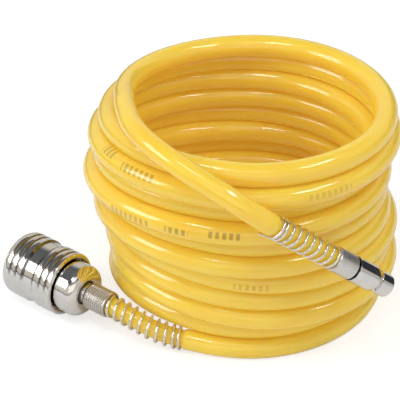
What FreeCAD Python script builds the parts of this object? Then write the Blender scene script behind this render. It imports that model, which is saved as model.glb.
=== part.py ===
import FreeCAD, Part
import math
import os
import Sketcher
from FreeCAD import Placement, Rotation, Vector

# Coiled air hose with a quick coupler at its lower end and a plug at its upper end.
# Millimetres, +Z up, floor at z = 0, origin under the middle of the whole object.
# A fitting is drawn along its own Z axis: station 0 is its open end and Z runs towards the hose.

SIZES = {
    # hose
    "hose_diameter": 8.0,
    "hose_bore": 5.0,
    # hose under a spring guard, which draws it in
    "hose_neck_radius": 3.42,
    "hose_neck_cover": 0.8,
    "hose_shoulder": 0.45,
    # middle of the coil on the floor
    "coil_middle_x": 20.31,
    "coil_middle_y": 1.07,
    # coil: radius, its slow changes from top to bottom and where it leans
    "coil_radius": 51.91,
    "coil_bulge": 1.49,
    "coil_taper": 2.37,
    "coil_tuck": 5.88,
    "tuck_turns": 0.75,
    "sway_middle": -3.05,
    "sway_depth": 2.78,
    "sway_start": -0.95,
    "sway_turns": 9.0,
    "lean_start": 0.58,
    "lean_depth": 8.21,
    # coil: every second or third turn lies further in
    "beat_depth": 2.23,
    "beat_start": 2.875,
    "beat_turns": 2.239,
    # coil: turns are counted from the top, and angles from +X
    "start_angle": 215.0,
    "first_turn": 0.10,
    "last_turn": 10.88,
    "formula_end": 10.944,
    "winding_steps": 43,
    # coil: how the turns lie on each other and on the floor
    "turn_spacing": 8.66,
    "nest_limit": 6.5,
    "rest_height": 3.5,
    "climb_start": 0.60,
    "top_lift": 2.4,
    "top_lift_turns": 0.30,
    "end_lift": 0.7,
    "end_lift_turns": 0.06,
    "end_lift_most": 1.4,
    "lead_length": 8.0,
    # free stretches
    "plug_lead": 7.0,
    "coupler_lead": 8.1,
    "arc_share": 0.45,
    # coupler sleeve
    "front_collar_radius": 12.95,
    "front_collar_end": 10.9,
    "waist_radius": 12.2,
    "waist_start": 11.8,
    "waist_end": 16.2,
    "rear_collar_radius": 12.75,
    "rear_collar_start": 17.1,
    "sleeve_length": 25.7,
    "sleeve_rim": 3.2,
    "sleeve_rear_rim": 0.8,
    "ring_recess_radius": 8.4,
    "ring_recess_depth": 1.6,
    "guide_radius": 6.6,
    "guide_end": 2.4,
    "cam_start": 3.4,
    "cam_radius": 7.625,
    "land_radius": 7.07,
    "land_end": 10.6,
    "chamber_radius": 10.45,
    "chamber_end": 22.4,
    "skirt_radius": 11.3,
    "line_floor": 0.1,
    "line_depth": 0.45,
    "line_flare": 0.7,
    "front_line_station": 5.0,
    "front_line_span": 3.0,
    "rear_line_station": 20.2,
    "rear_line_span": 3.0,
    "line_count": 2,
    # coupler front body
    "mouth_radius": 4.95,
    "mouth_face": 0.3,
    "mouth_chamfer": 0.45,
    "relief_start": 6.0,
    "relief_radius": 5.2,
    "cage_radius": 6.5,
    "cage_end": 15.0,
    "barrel_radius": 7.3,
    "barrel_end": 24.3,
    "spigot_radius": 6.6,
    "spigot_end": 28.5,
    "ring_groove_radius": 5.9,
    "ring_groove_start": 0.75,
    "nose_bore_radius": 4.5,
    "nose_bore_start": 10.2,
    "seal_groove_start": 11.5,
    "seal_groove_end": 13.2,
    "seal_groove_radius": 5.65,
    "port_radius": 3.3,
    "port_start": 15.0,
    "port_end": 16.4,
    "valve_chamber_radius": 5.6,
    "seat_end": 17.6,
    # locking balls
    "ball_radius": 1.5,
    "ball_station": 8.0,
    "ball_circle": 5.5,
    "ball_count": 4,
    "ball_hole_radius": 1.6,
    "ball_exit_radius": 1.475,
    # sleeve stop ring
    "ring_inner_radius": 6.0,
    "ring_outer_radius": 7.9,
    "ring_thickness": 0.7,
    "ring_station": 0.8,
    "ring_gap": 5.0,
    # coupler rear body
    "rear_radius": 10.4,
    "rear_start": 24.35,
    "rear_end": 35.3,
    "rear_shoulder": 4.4,
    "socket_radius": 6.65,
    "socket_end": 29.9,
    "air_bore_radius": 2.0,
    "neck_radius": 4.0,
    "stub_start": 36.2,
    "stub_radius": 4.2,
    "stub_end": 41.8,
    # barbs of both fittings
    "barb_radius": 2.45,
    "barb_waist": 2.25,
    "barb_pitch": 1.8,
    "barb_bore": 1.6,
    # clamp nuts
    "nut_radius": 5.0,
    "nut_start": 36.2,
    "nut_end": 46.9,
    "nut_chamfer": 0.4,
    "nut_thread_radius": 4.25,
    "nut_bore_radius": 4.06,
    "nut_thread_run": 5.8,
    # valve
    "poppet_tip": 12.0,
    "poppet_nose_radius": 3.2,
    "poppet_nose_end": 17.0,
    "poppet_seat_radius": 3.5,
    "poppet_face": 18.1,
    "poppet_disc_radius": 4.9,
    "poppet_disc_end": 19.6,
    "poppet_stem_radius": 2.6,
    "poppet_stem_end": 25.85,
    "flute_width": 2.2,
    "flute_floor": 1.6,
    "flute_count": 3,
    # seals: ring of round section
    "plug_seal_circle": 4.95,
    "plug_seal_section": 0.65,
    "plug_seal_station": 12.35,
    "valve_seal_circle": 4.1,
    "valve_seal_section": 0.55,
    "valve_seal_station": 17.49,
    "body_seal_circle": 5.95,
    "body_seal_section": 0.6,
    "body_seal_station": 29.25,
    # plug
    "nose_radius": 4.35,
    "nose_length": 5.9,
    "nose_rounding": 0.8,
    "lock_radius": 3.45,
    "lock_start": 6.4,
    "lock_end": 7.5,
    "flange_start": 8.0,
    "plug_start": 8.6,
    "plug_radius": 4.85,
    "plug_end": 18.4,
    "plug_bore_radius": 2.2,
    "plug_bore_end": 19.5,
    "plug_stub_end": 22.1,
    "plug_nut_start": 19.0,
    "plug_nut_end": 28.3,
    "plug_nut_radius": 4.75,
    # springs: wire, mean radius, length between the faces that hold it
    "guard_wire": 1.1,
    "guard_circle": 4.12,
    "guard_start_turns": 0.0,
    "guard_tail": 6.5,
    "plug_guard_start": 28.4,
    "plug_guard_end": 57.6,
    "plug_guard_turns": 9.44,
    "plug_closed_pitch": 1.6,
    "plug_closed_turns": 1.25,
    "coupler_guard_start": 47.0,
    "coupler_guard_end": 77.9,
    "coupler_guard_turns": 9.5,
    "coupler_closed_pitch": 1.75,
    "coupler_closed_turns": 0.75,
    "sleeve_spring_wire": 1.4,
    "sleeve_spring_circle": 8.9,
    "sleeve_spring_start": 10.65,
    "sleeve_spring_end": 24.3,
    "sleeve_spring_turns": 4.5,
    "valve_spring_wire": 0.7,
    "valve_spring_circle": 3.2,
    "valve_spring_start": 19.65,
    "valve_spring_end": 29.85,
    "valve_spring_turns": 6.0,
}

# Corners of the free stretches, from the coil outwards, seen from the middle of the coil.
# The first two corners follow from the end of the coil, and the last lies in the fitting.
PLUG_ROUTE = [
    Vector(-44.3, -33.6, 93.2),
    Vector(-32.9, -49.7, 91.8),
    Vector(-17.7, -59.5, 86.2),
    Vector(-7.2, -62.9, 80.4),
    Vector(2.9, -63.0, 72.9),
    Vector(31.3, -53.0, 49.0),
]
COUPLER_ROUTE = [
    Vector(-38.19, -36.75, 7.65),
    Vector(-45.34, -33.8, 10.62),
    Vector(-52.13, -29.67, 12.35),
    Vector(-58.49, -24.6, 12.52),
]

UP = Vector(0, 0, 1)
STEP = 1e-4

document = FreeCAD.newDocument("CoiledAirHose")
sheet = document.addObject("Spreadsheet::Sheet", "Sizes")
for row, (alias, number) in enumerate(SIZES.items(), start=1):
    sheet.set("A%d" % row, alias.replace("_", " "))
    sheet.set("B%d" % row, str(number))
    sheet.setAlias("B%d" % row, alias)
document.recompute()


def size(text):
    """Adds up a text of names and numbers such as "nut_end - nut_chamfer"."""
    total = 0.0
    sign = 1.0
    for word in text.split():
        if word in ("+", "-"):
            sign = 1.0 if word == "+" else -1.0
        else:
            total += sign * (SIZES[word] if word in SIZES else float(word))
    return total


def bound(text):
    """The same text as an expression that reads the sheet."""
    return " ".join("Sizes." + word if word in SIZES else word for word in text.split())


# Curves

def smooth(value):
    value = min(max(value, 0.0), 1.0)
    return value * value * (3.0 - 2.0 * value)


def arc_towards(start, direction, end):
    """Arc that leaves start along direction and ends at end."""
    chord = end - start
    normal = direction.cross(chord)
    if normal.Length < 1e-7:
        return Part.LineSegment(start, end).toShape()
    normal.normalize()
    inward = normal.cross(direction)
    radius = chord.dot(chord) / (2.0 * chord.dot(inward))
    centre = start + inward * radius
    outward = (start + end) * 0.5 - centre
    outward.normalize()
    return Part.Arc(start, centre + outward * radius, end).toShape()


def biarc(start, start_direction, end, end_direction):
    """Two arcs with a common tangent between two points with given directions."""
    chord = end - start
    both = start_direction + end_direction
    share = 2.0 * (1.0 - start_direction.dot(end_direction))
    along = chord.dot(both)
    reach = (math.sqrt(along * along + share * chord.dot(chord)) - along) / share
    joint = (start + start_direction * reach + end - end_direction * reach) * 0.5
    second = arc_towards(end, end_direction * -1.0, joint)
    middle = second.valueAt((second.FirstParameter + second.LastParameter) / 2.0)
    return [arc_towards(start, start_direction, joint), Part.Arc(joint, middle, end).toShape()]


def winding(position, first, last, steps, first_lead, last_lead):
    """Edges of a wound line: a straight lead, biarcs between stations, a straight lead."""
    stations = [first + (last - first) * number / steps for number in range(steps + 1)]
    points = [position(station) for station in stations]
    directions = []
    for station in stations:
        direction = position(station + STEP) - position(station - STEP)
        directions.append(direction.normalize())
    edges = [Part.LineSegment(points[0] - directions[0] * first_lead, points[0]).toShape()]
    for number in range(steps):
        edges += biarc(points[number], directions[number], points[number + 1], directions[number + 1])
    edges.append(Part.LineSegment(points[-1], points[-1] + directions[-1] * last_lead).toShape())
    return edges


def rounded_route(corners):
    """Straight runs joined by tangent arcs, as edges, with the arcs' radii."""
    edges = []
    radii = []
    at = corners[0]
    for before, corner, after in zip(corners, corners[1:], corners[2:]):
        back = before - corner
        ahead = after - corner
        reach = SIZES["arc_share"] * min(back.Length, ahead.Length)
        half_turn = (math.pi - back.getAngle(ahead)) / 2.0
        radius = reach / math.tan(half_turn)
        back.normalize()
        ahead.normalize()
        inward = back + ahead
        inward.normalize()
        start = corner + back * reach
        end = corner + ahead * reach
        middle = corner + inward * (radius / math.cos(half_turn) - radius)
        edges.append(Part.LineSegment(at, start).toShape())
        edges.append(Part.Arc(start, middle, end).toShape())
        radii.append(radius)
        at = end
    edges.append(Part.LineSegment(at, corners[-1]).toShape())
    return edges, radii


def stretch_of(edges, first, last):
    """Edges of the part of a line between two distances along it."""
    pieces = []
    travelled = 0.0
    for edge in edges:
        low = max(first - travelled, 0.0)
        high = min(last - travelled, edge.Length)
        travelled += edge.Length
        if high - low > 1e-6:
            start = edge.getParameterByLength(low)
            pieces.append(edge.Curve.toShape(start, edge.getParameterByLength(high)))
    return pieces


def tube(edges, radius):
    """Solid of round section along the edges."""
    start = edges[0].valueAt(edges[0].FirstParameter)
    direction = edges[0].tangentAt(edges[0].FirstParameter)
    section = Part.Wire([Part.makeCircle(radius, start, direction)])
    return Part.Wire(edges).makePipeShell([section], True, False)


def rounded_disc(radius, thickness, middle, direction):
    """Disc whose far edge is rounded nearly through its thickness."""
    disc = Part.makeCylinder(radius, thickness, middle, direction)
    far = middle + direction * thickness
    rim = [edge for edge in disc.Edges if edge.CenterOfMass.distanceToPoint(far) < 1e-4]
    return disc.makeFillet(0.96 * thickness, rim)


def least_gap(edges, radius, apart):
    """Smallest free space between parts of one tube that lie further apart along it than apart."""
    points = []
    travelled = 0.0
    for edge in edges:
        count = max(2, int(edge.Length / (0.4 * radius)) + 1)
        for number, point in enumerate(edge.discretize(Number=count)):
            points.append((travelled + edge.Length * number / (count - 1), point.x, point.y, point.z))
        travelled += edge.Length
    least = 1e9
    for number, (run, x, y, z) in enumerate(points):
        for other_run, other_x, other_y, other_z in points[number + 1:]:
            if other_run - run > apart:
                least = min(least, (x - other_x) ** 2 + (y - other_y) ** 2 + (z - other_z) ** 2)
    return math.sqrt(least) - 2.0 * radius


# Document objects

def feature(name, shape, placement=Placement()):
    item = document.addObject("Part::Feature", name)
    item.Label = name
    item.Shape = shape
    item.Placement = placement
    return item


def plane(body, role):
    return [item for item in body.Origin.OriginFeatures if item.Role == role][0]


def outline_sketch(body, name, corners):
    """Closed outline in the body's XZ plane: each corner is a radius and a station, as texts."""
    sketch = body.newObject("Sketcher::SketchObject", name)
    sketch.AttachmentSupport = [(plane(body, "XZ_Plane"), "")]
    sketch.MapMode = "FlatFace"
    points = [Vector(size(radius), size(station), 0) for radius, station in corners]
    for start, end in zip(points, points[1:] + points[:1]):
        sketch.addGeometry(Part.LineSegment(start, end), False)
    for number, (radius, station) in enumerate(corners):
        following = (number + 1) % len(corners)
        sketch.addConstraint(Sketcher.Constraint("Coincident", number, 2, following, 1))
        if points[number].x == 0.0:
            sketch.addConstraint(Sketcher.Constraint("PointOnObject", number, 1, -2))
        else:
            at = sketch.addConstraint(Sketcher.Constraint("DistanceX", -1, 1, number, 1, points[number].x))
            sketch.setExpression("Constraints[%d]" % at, bound(radius))
        if points[number].y == 0.0:
            sketch.addConstraint(Sketcher.Constraint("PointOnObject", number, 1, -1))
        else:
            at = sketch.addConstraint(Sketcher.Constraint("DistanceY", -1, 1, number, 1, points[number].y))
            sketch.setExpression("Constraints[%d]" % at, bound(station))
    return sketch


def turned(name, corners, placement):
    """Body of revolution about its own Z axis."""
    body = document.addObject("PartDesign::Body", name)
    body.Label = name
    sketch = outline_sketch(body, name + "_outline", corners)
    turn = body.newObject("PartDesign::Revolution", name + "_turned")
    turn.Profile = sketch
    turn.ReferenceAxis = (sketch, ["V_Axis"])
    turn.Angle = 360.0
    body.Placement = placement
    document.recompute()
    return body


def dressed(body, kind, name, rings, amount):
    """Fillet or chamfer on the circular edges with the given radii and stations."""
    base = body.Tip
    wanted = [(size(radius), size(station)) for radius, station in rings]
    edges = []
    for number, edge in enumerate(base.Shape.Edges, start=1):
        if edge.Curve.TypeId != "Part::GeomCircle":
            continue
        for radius, station in wanted:
            if abs(edge.Curve.Radius - radius) < 1e-4 and abs(edge.Curve.Center.z - station) < 1e-4:
                edges.append("Edge%d" % number)
    if len(edges) < len(wanted):
        raise ValueError(name + " finds too few edges")
    dress = body.newObject("PartDesign::" + kind, name)
    dress.Base = (base, edges)
    value = "Radius" if kind == "Fillet" else "Size"
    setattr(dress, value, SIZES[amount])
    dress.setExpression(value, bound(amount))
    document.recompute()
    return dress


def must_shrink(body, step):
    """Runs a cutting step and stops if it took nothing away."""
    before = body.Shape.Volume
    step()
    document.recompute()
    if body.Shape.Volume > before - 1e-3:
        raise ValueError(body.Label + " wasn't cut")


def turned_lines(body, name, radius, station, span):
    """Evenly spaced lines with sloping sides turned into the outside."""
    corners = [
        (radius + " - line_depth", station + " - line_floor"),
        (radius + " - line_depth + line_flare", station + " - line_floor - line_flare"),
        (radius + " - line_depth + line_flare", station + " + line_floor + line_flare"),
        (radius + " - line_depth", station + " + line_floor"),
    ]

    def step():
        sketch = outline_sketch(body, name + "_outline", corners)
        groove = body.newObject("PartDesign::Groove", name)
        groove.Profile = sketch
        groove.ReferenceAxis = (sketch, ["V_Axis"])
        groove.Angle = 360.0
        document.recompute()
        pattern = body.newObject("PartDesign::LinearPattern", name + "_row")
        pattern.Originals = [groove]
        pattern.Direction = (plane(body, "Z_Axis"), [""])
        pattern.Length = SIZES[span]
        pattern.setExpression("Length", bound(span))
        pattern.Occurrences = int(SIZES["line_count"])
        pattern.setExpression("Occurrences", bound("line_count"))
        body.Tip = pattern

    must_shrink(body, step)


def repeated(body, name, original, count):
    """Repeats a cut evenly round the body's axis."""
    pattern = body.newObject("PartDesign::PolarPattern", name)
    pattern.Originals = [original]
    pattern.Axis = (plane(body, "Z_Axis"), [""])
    pattern.Angle = 360.0
    pattern.Occurrences = int(SIZES[count])
    pattern.setExpression("Occurrences", bound(count))
    body.Tip = pattern


def barb(root, count):
    """Corners of a hose barb, as teeth that rise towards the root, from the root outwards."""
    corners = []
    for number in range(count):
        start = root + " + barb_pitch" * number
        corners.append(("barb_radius", start + " + 0.6"))
        corners.append(("barb_waist", start + " + barb_pitch"))
    return corners


def ring(name, circle, section, station, placement):
    """Seal ring of round section."""
    item = document.addObject("Part::Torus", name)
    item.Label = name
    item.setExpression("Radius1", bound(circle))
    item.setExpression("Radius2", bound(section))
    item.Placement = placement.multiply(Placement(Vector(0, 0, size(station)), Rotation()))
    return item


def spring(name, frame, wire, circle, span, turns, pitch, first_closed, last_closed, tail):
    """Open spring with closer end turns, wound round a line. frame gives the line at a distance."""
    closed = SIZES[pitch] if pitch else 0.0
    total = SIZES[turns]
    radius = SIZES[wire] / 2.0
    length = span - 2.0 * radius
    samples = 400

    def opening(turn):
        return smooth((turn - first_closed) / 0.5) * smooth((total - last_closed - turn) / 0.5)

    heights = [0.0]
    for number in range(samples):
        heights.append(heights[-1] + opening(total * (number + 0.5) / samples) * total / samples)
    spread = (length - closed * total) / heights[-1]
    start_pitch = closed + spread * opening(0.0)
    end_pitch = closed + spread * opening(total)

    def advance(turn):
        if turn <= 0.0:
            return radius + start_pitch * turn
        if turn >= total:
            return radius + length + end_pitch * (turn - total)
        place = turn / total * samples
        number = min(int(place), samples - 1)
        opened = heights[number] + (heights[number + 1] - heights[number]) * (place - number)
        return radius + closed * turn + spread * opened

    def position(turn):
        middle, side, upward = frame(advance(turn))
        angle = 2.0 * math.pi * turn
        return middle + (side * math.cos(angle) + upward * math.sin(angle)) * SIZES[circle]

    edges = winding(position, 0.0, total, int(round(total * 4)), 2.0 * radius, tail)
    shape = tube(edges, radius)
    gap = least_gap(edges, radius, 3.5 * SIZES[circle])
    print("%s: %.2f turns, least gap %.2f mm" % (name, total, gap))
    return shape


# Coil of the hose

coil_middle = Vector(SIZES["coil_middle_x"], SIZES["coil_middle_y"], 0)
formula_end = SIZES["formula_end"]


def coil_angle(turn):
    return math.radians(SIZES["start_angle"] - 360.0 * turn)


def coil_plan(turn):
    """Place of the hose's middle line seen from above, from the middle of the coil."""
    part = turn / formula_end
    beat = math.cos(2.0 * math.pi * (turn - SIZES["beat_start"]) / SIZES["beat_turns"])
    tuck = max(0.0, 1.0 - turn / SIZES["tuck_turns"])
    radius = SIZES["coil_radius"] + SIZES["coil_bulge"] * math.sin(math.pi * part)
    radius -= SIZES["coil_taper"] * part ** 3
    radius -= SIZES["beat_depth"] * beat * smooth(turn / 1.2)
    radius -= SIZES["coil_tuck"] * tuck * tuck
    sway = math.cos(2.0 * math.pi * (turn - SIZES["sway_start"]) / SIZES["sway_turns"])
    x = SIZES["sway_middle"] + SIZES["sway_depth"] * sway + radius * math.cos(coil_angle(turn))
    y = SIZES["lean_start"] + SIZES["lean_depth"] * part + radius * math.sin(coil_angle(turn))
    return x, y


def coil_rise(turn):
    """Height of a turn above the one below it: the two tubes touch side by side or stacked."""
    x, y = coil_plan(turn)
    below_x, below_y = coil_plan(turn + 1.0)
    angle = coil_angle(turn)
    offset = (x - below_x) * math.cos(angle) + (y - below_y) * math.sin(angle)
    offset = min(abs(offset), SIZES["nest_limit"])
    return math.sqrt(SIZES["turn_spacing"] ** 2 - offset ** 2)


def end_lift(turn):
    """The hose leaves the floor just before the lower fitting, and lifts the turns above it."""
    share = 1.0 - (SIZES["last_turn"] - turn) / SIZES["end_lift_turns"]
    return min(SIZES["end_lift"] * max(0.0, share) ** 2, SIZES["end_lift_most"])


def coil_height(turn):
    left = formula_end - turn
    if left >= 1.0:
        return coil_height(turn + 1.0) + coil_rise(turn)
    climb = smooth((left - SIZES["climb_start"]) / (1.0 - SIZES["climb_start"]))
    top = coil_rise(formula_end - 1.0) + end_lift(formula_end)
    return SIZES["rest_height"] + end_lift(turn) + top * climb


def coil_position(turn):
    x, y = coil_plan(turn)
    z = coil_height(turn)
    start_share = 1.0 - (turn - SIZES["first_turn"]) / SIZES["top_lift_turns"]
    z += SIZES["top_lift"] * max(0.0, start_share) ** 2
    return coil_middle + Vector(x, y, z)


hose_radius = SIZES["hose_diameter"] / 2.0
coil_edges = winding(
    coil_position,
    SIZES["first_turn"],
    SIZES["last_turn"],
    int(SIZES["winding_steps"]),
    SIZES["lead_length"],
    SIZES["lead_length"],
)
coil_length = sum(edge.Length for edge in coil_edges)
print("hose_coil: %.2f turns, length %.0f mm, least gap %.2f mm" % (
    SIZES["last_turn"] - SIZES["first_turn"],
    coil_length,
    least_gap(coil_edges, hose_radius, 60.0),
))

whole_coil = feature("round_coil", tube(coil_edges, hose_radius))
floor = document.addObject("Part::Box", "floor_block")
floor.Length = 200
floor.Width = 200
floor.Height = 10
floor.Placement = Placement(Vector(coil_middle.x - 100, coil_middle.y - 100, -10), Rotation())
coil = document.addObject("Part::Cut", "hose_coil")
coil.Label = "hose_coil"
coil.Base = whole_coil
coil.Tool = floor

# Free stretches of the hose

coil_start = coil_edges[0].valueAt(coil_edges[0].FirstParameter)
coil_start_direction = coil_edges[0].tangentAt(coil_edges[0].FirstParameter) * -1.0
coil_end = coil_edges[-1].valueAt(coil_edges[-1].LastParameter)
coil_end_direction = coil_edges[-1].tangentAt(coil_edges[-1].LastParameter)


def free_stretch(name, start, direction, lead, corners, neck_start, neck_end):
    """Tube along a route. A guard draws it in between two distances from the route's end."""
    corners = [start, start + direction * lead] + [coil_middle + corner for corner in corners]
    edges, radii = rounded_route(corners)
    length = sum(edge.Length for edge in edges)
    neck_start -= SIZES["hose_neck_cover"] / 2.0
    neck_end += SIZES["hose_neck_cover"]
    neck_radius = SIZES["hose_neck_radius"]
    full = tube(stretch_of(edges, 0.0, length - neck_end), hose_radius)
    necked = stretch_of(edges, length - neck_end, length - neck_start + 2.0)
    shoulder_at = necked[0].valueAt(necked[0].FirstParameter)
    shoulder_direction = necked[0].tangentAt(necked[0].FirstParameter)
    shoulder = rounded_disc(hose_radius, SIZES["hose_shoulder"], shoulder_at, shoulder_direction)
    held = tube(stretch_of(edges, length - neck_start, length), hose_radius)
    outside = full.fuse([shoulder, tube(necked, neck_radius), held])
    hose = outside.cut(tube(edges, SIZES["hose_bore"] / 2.0))
    section = math.pi * (hose_radius ** 2 - SIZES["hose_bore"] ** 2 / 4.0)
    drawn_in = math.pi * (hose_radius ** 2 - neck_radius ** 2) * (neck_end - neck_start)
    print("%s: length %.1f mm, volume %.1f, section times length %.1f mm3" % (
        name, length, hose.Volume, section * length - drawn_in))
    print("   arc radii", ", ".join("%.1f" % radius for radius in radii))
    feature(name, hose)
    return edges, length, corners


plug_edges, plug_tail_length, plug_corners = free_stretch(
    "plug_tail_hose", coil_start, coil_start_direction, SIZES["plug_lead"], PLUG_ROUTE,
    size("plug_guard_start - plug_stub_end"), size("plug_guard_end - plug_stub_end"))
coupler_edges, coupler_tail_length, coupler_corners = free_stretch(
    "coupler_tail_hose", coil_end, coil_end_direction, SIZES["coupler_lead"], COUPLER_ROUTE,
    size("coupler_guard_start - stub_end"), size("coupler_guard_end - stub_end"))
print("whole hose: %.0f mm" % (coil_length + plug_tail_length + coupler_tail_length))


def fitting_frame(corners, hose_station):
    """Placement of a fitting on the end of a route whose last corner is at hose_station."""
    outward = corners[-1] - corners[-2]
    outward.normalize()
    inward = outward * -1.0
    side = UP - inward * UP.dot(inward)
    side.normalize()
    turn = Rotation(side, inward.cross(side), inward, "ZXY")
    return Placement(corners[-1] + outward * hose_station, turn)


coupler_at = fitting_frame(coupler_corners, SIZES["stub_end"])
plug_at = fitting_frame(plug_corners, SIZES["plug_stub_end"])

# Coupler: sliding sleeve with its cam for the balls

sleeve = turned("coupler_sleeve", [
    ("ring_recess_radius", "0"),
    ("front_collar_radius", "0"),
    ("front_collar_radius", "front_collar_end"),
    ("waist_radius", "waist_start"),
    ("waist_radius", "waist_end"),
    ("rear_collar_radius", "rear_collar_start"),
    ("rear_collar_radius", "sleeve_length"),
    ("skirt_radius", "sleeve_length"),
    ("skirt_radius", "chamber_end"),
    ("chamber_radius", "chamber_end"),
    ("chamber_radius", "land_end"),
    ("land_radius", "land_end"),
    ("land_radius", "ball_station"),
    ("cam_radius", "cam_start"),
    ("cam_radius", "guide_end"),
    ("guide_radius", "guide_end"),
    ("guide_radius", "ring_recess_depth"),
    ("ring_recess_radius", "ring_recess_depth"),
], coupler_at)
dressed(sleeve, "Fillet", "sleeve_front_rim", [("front_collar_radius", "0")], "sleeve_rim")
dressed(sleeve, "Fillet", "sleeve_rear_edge", [("rear_collar_radius", "sleeve_length")], "sleeve_rear_rim")
turned_lines(sleeve, "sleeve_front_lines", "front_collar_radius", "front_line_station", "front_line_span")
turned_lines(sleeve, "sleeve_rear_lines", "rear_collar_radius", "rear_line_station", "rear_line_span")

# Coupler: front body with the mouth, the ball cage and the valve seat

front = turned("coupler_front_body", [
    ("mouth_radius", "mouth_face + mouth_chamfer"),
    ("mouth_radius + mouth_chamfer", "mouth_face"),
    ("cage_radius", "mouth_face"),
    ("cage_radius", "ring_groove_start"),
    ("ring_groove_radius", "ring_groove_start"),
    ("ring_groove_radius", "ring_recess_depth"),
    ("cage_radius", "ring_recess_depth"),
    ("cage_radius", "cage_end"),
    ("barrel_radius", "cage_end"),
    ("barrel_radius", "barrel_end"),
    ("spigot_radius", "barrel_end"),
    ("spigot_radius", "spigot_end"),
    ("valve_chamber_radius", "spigot_end"),
    ("valve_chamber_radius", "seat_end"),
    ("port_radius", "port_end"),
    ("port_radius", "port_start"),
    ("nose_bore_radius", "port_start"),
    ("nose_bore_radius", "seal_groove_end"),
    ("seal_groove_radius", "seal_groove_end"),
    ("seal_groove_radius", "seal_groove_start"),
    ("nose_bore_radius", "seal_groove_start"),
    ("nose_bore_radius", "nose_bore_start"),
    ("relief_radius", "nose_bore_start"),
    ("relief_radius", "relief_start"),
    ("mouth_radius", "relief_start"),
], coupler_at)


def ball_holes():
    """Four holes that narrow inwards, so that the balls can't fall into the mouth."""
    sketch = front.newObject("Sketcher::SketchObject", "ball_hole_outline")
    sketch.AttachmentSupport = [(plane(front, "XZ_Plane"), "")]
    sketch.MapMode = "FlatFace"
    sketch.AttachmentOffset = Placement(Vector(0, SIZES["ball_station"], 0), Rotation())
    sketch.setExpression(".AttachmentOffset.Base.y", "Sizes.ball_station")
    corners = [
        ("3.5", "0"),
        ("cage_radius + 1", "0"),
        ("cage_radius + 1", "ball_hole_radius"),
        ("relief_radius + 0.2", "ball_hole_radius"),
        ("relief_radius", "ball_exit_radius"),
        ("3.5", "ball_exit_radius"),
    ]
    points = [Vector(size(along), size(across), 0) for along, across in corners]
    for start, end in zip(points, points[1:] + points[:1]):
        sketch.addGeometry(Part.LineSegment(start, end), False)
    for number, (along, across) in enumerate(corners):
        following = (number + 1) % len(corners)
        sketch.addConstraint(Sketcher.Constraint("Coincident", number, 2, following, 1))
        at = sketch.addConstraint(Sketcher.Constraint("DistanceX", -1, 1, number, 1, points[number].x))
        sketch.setExpression("Constraints[%d]" % at, bound(along))
        if points[number].y == 0.0:
            sketch.addConstraint(Sketcher.Constraint("PointOnObject", number, 1, -1))
        else:
            at = sketch.addConstraint(Sketcher.Constraint("DistanceY", -1, 1, number, 1, points[number].y))
            sketch.setExpression("Constraints[%d]" % at, bound(across))
    hole = front.newObject("PartDesign::Groove", "ball_hole")
    hole.Profile = sketch
    hole.ReferenceAxis = (sketch, ["H_Axis"])
    hole.Angle = 360.0
    document.recompute()
    repeated(front, "ball_hole_ring", hole, "ball_count")


must_shrink(front, ball_holes)

# Coupler: balls, stop ring, rear body and clamp nut

for number in range(int(SIZES["ball_count"])):
    ball = document.addObject("Part::Sphere", "locking_ball_%d" % (number + 1))
    ball.Label = "locking_ball_%d" % (number + 1)
    ball.setExpression("Radius", bound("ball_radius"))
    angle = 2.0 * math.pi * number / SIZES["ball_count"]
    outward = Vector(math.cos(angle), math.sin(angle), 0) * SIZES["ball_circle"]
    place = outward + Vector(0, 0, SIZES["ball_station"])
    ball.Placement = coupler_at.multiply(Placement(place, Rotation()))

stop_ring = turned("sleeve_stop_ring", [
    ("ring_inner_radius", "ring_station"),
    ("ring_outer_radius", "ring_station"),
    ("ring_outer_radius", "ring_station + ring_thickness"),
    ("ring_inner_radius", "ring_station + ring_thickness"),
], coupler_at)


def ring_slot():
    """The slot that lets the ring open over the body."""
    sketch = stop_ring.newObject("Sketcher::SketchObject", "ring_slot_outline")
    sketch.AttachmentSupport = [(plane(stop_ring, "XY_Plane"), "")]
    sketch.MapMode = "FlatFace"
    half = SIZES["ring_gap"] / 2.0
    points = [Vector(0, -half, 0), Vector(12, -half, 0), Vector(12, half, 0), Vector(0, half, 0)]
    for start, end in zip(points, points[1:] + points[:1]):
        sketch.addGeometry(Part.LineSegment(start, end), False)
    for number in range(4):
        sketch.addConstraint(Sketcher.Constraint("Coincident", number, 2, (number + 1) % 4, 1))
    sketch.addConstraint(Sketcher.Constraint("Horizontal", 0))
    sketch.addConstraint(Sketcher.Constraint("Horizontal", 2))
    sketch.addConstraint(Sketcher.Constraint("Vertical", 1))
    sketch.addConstraint(Sketcher.Constraint("PointOnObject", 0, 1, -2))
    sketch.addConstraint(Sketcher.Constraint("Symmetric", 0, 1, 2, 2, -1))
    sketch.addConstraint(Sketcher.Constraint("DistanceX", 0, 1, 0, 2, 12))
    width = sketch.addConstraint(Sketcher.Constraint("DistanceY", 1, 1, 1, 2, 2 * half))
    sketch.setExpression("Constraints[%d]" % width, "Sizes.ring_gap")
    slot = stop_ring.newObject("PartDesign::Pocket", "ring_slot")
    slot.Profile = sketch
    slot.Type = "ThroughAll"
    slot.Midplane = True


must_shrink(stop_ring, ring_slot)

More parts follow.
